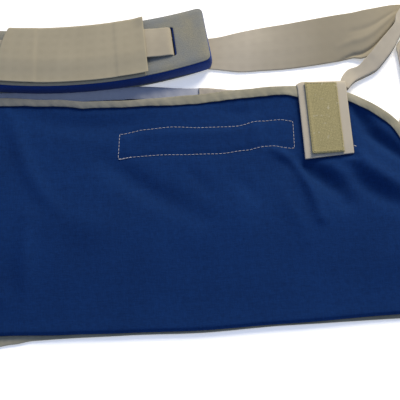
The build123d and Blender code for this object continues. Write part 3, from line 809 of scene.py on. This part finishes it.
elbow_lines = [
    (0.3, 0.36, 0.06, 0.9, 0.6, 0.79), (0.62, 0.6, 0.06, 1.0, 0.62, 0.79), (0.2, 0.4, 0.1, 0.5, 0.3, 0.5),
    (0.7, 0.5, 0.1, 0.5, 0.35, 0.52),
]
elbow_web = laid("elbow_end_strap", 28, 300, creased(elbow_run, elbow_lines), 1.2, WEB_BEIGE,
                 "pouch", "elbow_strap", offset=0)

# ---- tab over the mouth
def fold_rung(left, right, z, crown=0.0):
    """A station near the tab's fold, whose left corner is drawn in."""
    plain = rung(left, right, z, crown)
    return lambda u: plain(u) - Vector((0, 2.6 * max(1 - u / 0.12, 0) ** 1.5, 0))


tab_run = ribbon([
    rung((121.5, 95.0), (160.5, 94.0), 8.0), fold_rung((121.2, 102.3), (160.6, 101.6), 8.0),
    fold_rung((120.4, 105.4), (160.6, 104.2), 8.8, 0.1),
    fold_rung((120.2, 106.0), (160.6, 104.8), 10.4, 0.1),
    fold_rung((120.3, 104.7), (160.7, 103.4), 12.2, 0.1),
    fold_rung((120.6, 101.0), (160.8, 99.8), 12.9, 0.2), rung((120.8, 85), (160.5, 84), 13.0, 0.2),
    rung((120.8, 62), (160.4, 62.5), 12.9, 0.3), rung((120.8, 44), (160.4, 46), 12.7, 0.3),
    rung((120.8, 33.6), (160.4, 36.9), 12.1, 0.1),
])
tab_web = laid("tab_webbing", 24, 110, tab_run, 1.3, WEB_BEIGE, None, "tab", offset=0)
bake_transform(tab_web)

HOOK_TOP, HOOK_FOOT = 0.185, 0.968


def hook_place(u, v):
    """The hook patch on the tab's face: its left long edge and its foot, at v 0, stand off the webbing."""
    across = 0.152 + 0.655 * u
    foot = HOOK_FOOT + 0.016 * u
    spot = Vector(tab_run(across, HOOK_TOP + (foot - HOOK_TOP) * (1 - v)))
    lifted = 0.9 * math.exp(-(u / 0.09) ** 2) + 0.5 * math.exp(-(v / 0.05) ** 2)
    spot.z += 1.95 + lifted + 0.1 * noise.noise((spot.x / 12, spot.y / 12, 9))
    return spot


hook_patch = laid("tab_hook_patch", 20, 48, hook_place, 1.4, HOOK_OLIVE, "strap_tab",
                  "tab_hook")

# ---- shoulder pad
PAD_X, PAD_Y, PAD_R = -65.0, 138.7, 400.0
HALF_L, HALF_W, CORNER = 115.0, 27.5, 5.0
# The slits' place along the pad, and half their width and length.
SLIT_S, SLIT_WIDE, SLIT_LONG = 87.5, 1.7, 14.5
LEAN, TAPER = 0.0008, 0.07


def pad_spot(s, t):
    """A place on the pad: s along its curve towards the hand end, t towards its near edge."""
    s *= 1 + LEAN * t
    s += 1.7 * ease((s - 92) / 20)
    t *= 1 - TAPER * (s / HALF_L) ** 2
    if t < 0:
        # The far edge runs straighter than the near one.
        t -= t / HALF_W * min(max(0.5 - 0.0187 * s, -0.7), 2.0)
    a = s / (PAD_R + t)
    return Vector((PAD_X + (PAD_R + t) * math.sin(a), PAD_Y + PAD_R - (PAD_R + t) * math.cos(a), 0))


def rounded(s, t, half_l, half_w):
    """The same place with the outline's corners drawn in to their radius."""
    a = (abs(s) - (half_l - CORNER)) / CORNER
    b = (abs(t) - (half_w - CORNER)) / CORNER
    if a > 0 and b > 0:
        far = max(a, b)
        size = math.hypot(a, b)
        s = math.copysign(half_l - CORNER + CORNER * far * a / size, s)
        t = math.copysign(half_w - CORNER + CORNER * far * b / size, t)
    return s, t


def grid_lines(stops, counts):
    """Grid lines at the stops, and evenly between them."""
    lines = []
    for a, b, count in zip(stops, stops[1:], counts):
        lines.extend(a + (b - a) * k / count for k in range(count))
    return lines + [stops[-1]]


ROWS = grid_lines([-HALF_L, CORNER - HALF_L, -SLIT_S - SLIT_WIDE, -SLIT_S + SLIT_WIDE,
                   SLIT_S - SLIT_WIDE, SLIT_S + SLIT_WIDE, HALF_L - CORNER, HALF_L], (5, 8, 1, 56, 1, 8, 5))
COLS = grid_lines([-HALF_W, CORNER - HALF_W, -SLIT_LONG, SLIT_LONG, HALF_W - CORNER, HALF_W],
                  (5, 4, 10, 4, 5))


def pad_layer(name, top, inset, crown):
    """A layer of the pad, still straight, with its slits cut out: x along it, y away from the near edge."""
    rows, cols = len(ROWS) - 1, len(COLS) - 1
    obj = new_grid(name, rows, cols)
    for vertex in obj.data.vertices:
        u, v = vertex.co.x + 0.5, vertex.co.y + 0.5
        vertex.co = (ROWS[round(u * rows)], COLS[round(v * cols)], 0)
    bpy.ops.object.mode_set(mode="EDIT")
    bpy.ops.mesh.select_all(action="DESELECT")
    bpy.ops.object.mode_set(mode="OBJECT")
    for face in obj.data.polygons:
        face.select = abs(abs(face.center.x) - SLIT_S) < SLIT_WIDE and abs(face.center.y) < SLIT_LONG
    bpy.ops.object.mode_set(mode="EDIT")
    bpy.ops.mesh.select_mode(type="FACE")
    bpy.ops.mesh.delete(type="FACE")
    bpy.ops.object.mode_set(mode="OBJECT")
    for vertex in obj.data.vertices:
        s, t = vertex.co.x, vertex.co.y
        edge = min(HALF_L - abs(s), HALF_W - abs(t))
        s, t = rounded(s * (1 - inset / HALF_L), t * (1 - inset / HALF_W), HALF_L - inset, HALF_W - inset)
        z = top - crown * math.exp(-(edge / 2.6) ** 2) + 0.18 * noise.noise((s / 22, t / 22, top))
        vertex.co = Vector((s, t, z)) * MM
    for loop in obj.data.loops:
        co = obj.data.vertices[loop.vertex_index].co
        obj.data.uv_layers[0].data[loop.index].uv = (co.x, co.y)
    return obj


def bent(obj):
    """The straight layer bent to the pad's curve."""
    for vertex in obj.data.vertices:
        s, away, z = vertex.co / MM
        spot = pad_spot(s, -away)
        vertex.co = Vector((spot.x, spot.y, z)) * MM
    return obj


foam = pad_layer("pad_foam_core", 16.0, 0.0, 0.7)
# The slab is drawn down in five lifts, and its side swells a little between them.
bpy.ops.object.mode_set(mode="EDIT")
bpy.ops.mesh.select_all(action="SELECT")
for drop in (1.2, 3.2, 4.2, 3.0, 1.2):
    bpy.ops.mesh.extrude_region_move(TRANSFORM_OT_translate={"value": (0, 0, -drop * MM)})
bpy.ops.mesh.select_all(action="SELECT")
bpy.ops.mesh.normals_make_consistent(inside=False)
bpy.ops.object.mode_set(mode="OBJECT")
for vertex in foam.data.vertices:
    s, t, z = vertex.co / MM
    level = min(max((15.6 - z) / 12.4, 0), 1)
    edge = min(HALF_L - abs(s), HALF_W - abs(t))
    if edge < 2.5:
        swell = 0.7 * math.sin(math.pi * level) - 0.5 * ease((level - 0.5) / 0.5)
        # At the hand end the near corner is pressed out at its foot.
        pressed = 1.4 * level * ease((s - 90) / 20) * ease((10 - t) / 30)
        s *= 1 + (swell + pressed) / HALF_L
        t *= 1 + (swell + pressed) / HALF_W
    if level > 0.98:
        z = 3.1 + 0.1 * noise.noise((s / 20, t / 20, 1))
    vertex.co = Vector((s, t, z)) * MM
    # The skin is cut back from the slits' outer sides, where the foam shows.
    if 0 < abs(s) - SLIT_S < 3 and abs(t) < 14.6:
        s = math.copysign(SLIT_S + 0.5, s)
    vertex.co.x = s * MM
dressed(softened(bent(foam), 0), FOAM_BLUE, "shoulder_pad", "pad_foam")

top_skin = softened(bent(pad_layer("pad_top_skin_knit", 16.8, 0.25, 0.75)), 0.7)
dressed(top_skin, KNIT_GREY, "shoulder_pad", "pad_top_skin")
under_skin = softened(bent(pad_layer("pad_under_skin_knit", 3.05, -0.5, 0.0)), 0.7)
dressed(under_skin, KNIT_GREY, "shoulder_pad", "pad_under_skin")


def over_pad(s, z, crown=0.0, away=0.0):
    """A station on the pad's strap; away moves it towards the far edge."""
    def at(u):
        t = 14.0 * (1 - 2 * u) - away
        spot = pad_spot(s, t)
        spot.z = z + crown * math.sin(math.pi * u)
        return spot
    return at


pad_strap_run = ribbon([
    *(over_pad(-SLIT_S + 0.9, z) for z in (3.0, 9.0, 15.5)),
    over_pad(-SLIT_S + 1.6, 18.2), over_pad(-SLIT_S + 4.5, 19.4, 0.4), over_pad(-SLIT_S + 16, 20.0, 0.4),
    over_pad(-58, 20.2), over_pad(-20, 20.2), over_pad(20, 20.2), over_pad(56, 20.2, 0.2, 1.9),
    over_pad(66, 19.6, 0.3, 1.6), over_pad(SLIT_S - 12, 18.5, 0.4, 0.9),
    over_pad(SLIT_S - 4.5, 18.1, 0.4, 0.3), over_pad(SLIT_S - 1.6, 17.3),
    *(over_pad(SLIT_S - 0.9, z) for z in (15.0, 9.0, 3.0)),
])
pad_web = laid("pad_strap_webbing", 24, 130, pad_strap_run, 1.2, WEB_PAD_PAINTED_SHADE,
               "shoulder_pad", "pad_strap", offset=0)

# ---- keeper sleeve
SLEEVE_AT, SLEEVE_HALF = 6.5, 57.0
# The strips' width, and how far in from the sleeve's ends they lie.
STRIP_WIDE, STRIP_IN = 22.0, 3.0
# Across the pad, the near and far edges of the sleeve's base and flap.
BASE_NEAR, BASE_FAR, FLAP_NEAR, FLAP_FAR = 28.0, -26.2, 26.4, -27.5
BASE_Z, BASE_FLAT = 17.75, 0.9


def sleeve_s(u, t):
    """How far along the pad the sleeve is at u across it: its elbow end's far corner is drawn in."""
    left = SLEEVE_AT - SLEEVE_HALF + 2.0 - 10.0 * (1 - math.exp(-max(t + BASE_NEAR, 0) / 18))
    right = SLEEVE_AT + SLEEVE_HALF + 0.9
    return left + (right - left) * u


def base_place(u, v):
    """The sleeve's lower layer, turned up at the far side to where the flap begins."""
    if v < BASE_FLAT:
        t = BASE_NEAR - (BASE_NEAR - BASE_FAR) * v / BASE_FLAT
        z = BASE_Z - 1.2 * ease((t - FLAP_NEAR) / 1.6)
    else:
        w = (v - BASE_FLAT) / (1 - BASE_FLAT)
        t = BASE_FAR - 0.9 * math.sin(math.pi / 2 * w)
        z = BASE_Z + 2.3 * w
    s = sleeve_s(0.01 + 0.975 * u, t)
    spot = pad_spot(s, t)
    return (spot.x, spot.y, z + 0.1 * noise.noise((s / 9, t / 9, 3)))


sleeve_base = laid("sleeve_base_cloth", 60, 44, base_place, 0.7, SLEEVE_BEIGE, "shoulder_pad",
                   "sleeve_base")


def flap_height(s, t):
    """The flap: over the strap's bulk, down to the strips at its near edge and rounded off at the far one."""
    drop = 1.6 * ease((t - 4) / 21) + 2.6 * (1 - math.sqrt(1 - min(max((-t - 24.8) / 3.2, 0), 0.98) ** 2))
    strips = 0.32 * ease((abs(s - SLEEVE_AT) - SLEEVE_HALF + STRIP_IN + STRIP_WIDE) / 1.6)
    ends = 0.2 * ease((abs(s - SLEEVE_AT) - 51) / 6) * ease((10 - t) / 20)
    lip = 0.9 * ease((s - 54) / 10) * ease((-t - 16) / 9)
    wave = 0.25 * noise.noise((s / 30, t / 25, 11))
    return 21.65 - drop + strips + ends + lip + wave


def flap_place(u, v):
    """The sleeve's upper layer, from its near edge to the far one that it turns back from."""
    t = FLAP_NEAR - (FLAP_NEAR - FLAP_FAR) * v
    s = sleeve_s(u, t)
    spot = pad_spot(s, t)
    return (spot.x, spot.y, flap_height(s, t))


def bends_at_the_sleeve(piece):
    """The piece's place, baked into its mesh; the flap is one cloth with the base along its far edge."""
    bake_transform(piece)


sleeve_flap = laid("sleeve_flap_cloth", 76, 54, flap_place, 0.7, SLEEVE_BEIGE, None,
                   "sleeve_flap")
bends_at_the_sleeve(sleeve_flap)


def sleeve_strips(end, middle):
    """The hook strip on the sleeve's base and the loop strip under its flap, at one end."""
    def strip_s(u):
        return middle + STRIP_WIDE * (u - 0.5)

    def hook_strip(u, v):
        spot = pad_spot(strip_s(u), 24.5 - 49 * v)
        return (spot.x, spot.y, 18.35)

    def loop_strip(u, v):
        s, t = strip_s(u), 24.0 - 48 * v
        spot = pad_spot(s, t)
        return (spot.x, spot.y, flap_height(s, t) - 0.8)

    laid(f"sleeve_hook_strip_{end}", 12, 26, hook_strip, 0.55, HOOK_OLIVE, "shoulder_pad",
         f"sleeve_hook_{end}")
    strip = laid(f"sleeve_loop_strip_{end}", 24, 60, loop_strip, 0.5, LOOP_BLUE, None,
                 f"sleeve_loop_{end}")
    bends_at_the_sleeve(strip)


for end, side in (("elbow", -1), ("hand", 1)):
    sleeve_strips(end, SLEEVE_AT + side * (SLEEVE_HALF - STRIP_IN - STRIP_WIDE / 2))

# ---- ring
for slot_of_ring in frame["nodes"]["ring"].material_slots:
    slot_of_ring.material = STEEL


# ---- sewing
LONG_SIDE = 0.42


def rectangle_path(t):
    """Round the loop tape: along the top, down, back along the bottom and up."""
    side, here, there = (0.0, RECT_TOP, RECT_LOW) if t < 0.5 else (0.5, RECT_LOW[::-1], RECT_TOP[::-1])
    if t - side < LONG_SIDE:
        x = here[0][0] + (here[-1][0] - here[0][0]) * (t - side) / LONG_SIDE
        y = height_at(RECT_TOP if t < 0.5 else RECT_LOW, x)
    else:
        x, y = between(here[-1], there[-1], (t - side - LONG_SIDE) / (0.5 - LONG_SIDE))
    return (x, y, panel_height(x, y, 30) + 0.55)


stitched("rectangle_stitches", rectangle_path, 3.1, THREAD_PALE, 0.42)


def back_tack(t):
    """A second row over the rectangle's lower left corner, where the sewing was started and ended."""
    x, y = -26.8 + 11.0 * t, 43.7 + 1.1 * t
    return (x, y, panel_height(x, y, 30) + 0.65)


stitched("rectangle_back_tack", back_tack, 2.6, THREAD_PALE, 0.75)


def along_edge(edge, inset, z):
    """A path that keeps inside an edge."""
    def path(t):
        step = edge(min(t + 0.004, 1.0)) - edge(max(t - 0.004, 0.0))
        step.normalize()
        spot = edge(t) + Vector((step.y, -step.x, 0)) * inset
        return (spot.x, spot.y, z)
    return path


stitched("front_binding_stitches", along_edge(mouth_point, 6.0, 11.95), 2.8, THREAD_DULL, 0.45)
stitched("back_binding_stitches", along_edge(back_point, 10.8, 2.85), 2.8, THREAD_DULL, 0.45)
stitched("elbow_binding_stitches", lambda t: (-209, -98 + 196 * t, 6.25), 2.8, THREAD_PALE, 0.45)


def hook_seam(t):
    """Round the hook patch, just inside its edge."""
    side = min(int(t * 4), 3)
    w = t * 4 - side
    corners = [(0.05, 0.98), (0.95, 0.98), (0.95, 0.02), (0.05, 0.02), (0.05, 0.98)]
    return hook_place(*between(corners[side], corners[side + 1], w)) + Vector((0, 0, 0.1))


stitched("hook_patch_stitches", hook_seam, 2.6, THREAD_OLIVE, 0.4, "strap_tab")
THREAD_END = [(160.6, 44.4, 11.4), (161.9, 43.6, 11.9), (163.4, 42.9, 11.6)]
stitched("loose_thread_end", lambda t: through(THREAD_END, t), 3.2, THREAD_PALE, 0.8)


def box_stitch(x0, x1, y0, y1, z):
    """A sewn box with its cross, as one path."""
    corners = [(x0, y0), (x1, y0), (x1, y1), (x0, y1), (x0, y0), (x1, y1), (x1, y0), (x0, y1)]

    def path(t):
        k = min(int(t * 7), 6)
        return (*between(corners[k], corners[k + 1], t * 7 - k), z)
    return path


stitched("anchor_box_stitches", box_stitch(214, 243, 133.5, 143, 7.3), 2.8, THREAD_PALE, 0.5)

# ---- stage
bpy.ops.object.select_all(action="DESELECT")
bpy.ops.mesh.primitive_plane_add(size=6, location=(0, 0, 0))
floor = bpy.context.object
floor.name = "studio_floor"
paper = start_material("pale_floor_paper", 0.9)[0]
lit = paper.node_tree.nodes["Principled BSDF"].inputs
lit["Base Color"].default_value = linear("FBF9F3")
# The paper is lit a little from below, as on a light table.
lit["Emission Color"].default_value = linear("FFFDF8")
lit["Emission Strength"].default_value = 0.3
floor.data.materials.append(paper)

CAMERA_AT, CAMERA_AIM, LENS = Vector((0.00859, -0.45265, 0.90705)), Vector((0.0360, 0.0087, 0.0)), 116.1
camera_data = bpy.data.cameras.new("camera")
camera = bpy.data.objects.new("camera", camera_data)
bpy.context.collection.objects.link(camera)
camera_data.sensor_width = 36
camera_data.lens = LENS
camera.location = CAMERA_AT
camera.rotation_euler = (CAMERA_AIM - CAMERA_AT).to_track_quat("-Z", "Y").to_euler()
bpy.context.scene.camera = camera


def lamp(name, spot, size, power, code):
    """A square lamp that faces the origin."""
    data = bpy.data.lights.new(name, "AREA")
    data.size = size
    data.energy = power
    data.color = linear(code)[:3]
    obj = bpy.data.objects.new(name, data)
    bpy.context.collection.objects.link(obj)
    obj.location = spot
    obj.rotation_euler = (-Vector(spot)).to_track_quat("-Z", "Y").to_euler()


lamp("key", (0.8, 1.45, 1.02), 0.85, 58, "FFF3DE")
lamp("fill", (-0.9, -1.2, 1.8), 1.8, 7, "D4E0FF")
world = bpy.data.worlds.new("studio")
world.use_nodes = True
world.node_tree.nodes["Background"].inputs["Color"].default_value = linear("B4CCFF")
world.node_tree.nodes["Background"].inputs["Strength"].default_value = 0.58
bpy.context.scene.world = world
bpy.context.scene.view_settings.view_transform = "Standard"
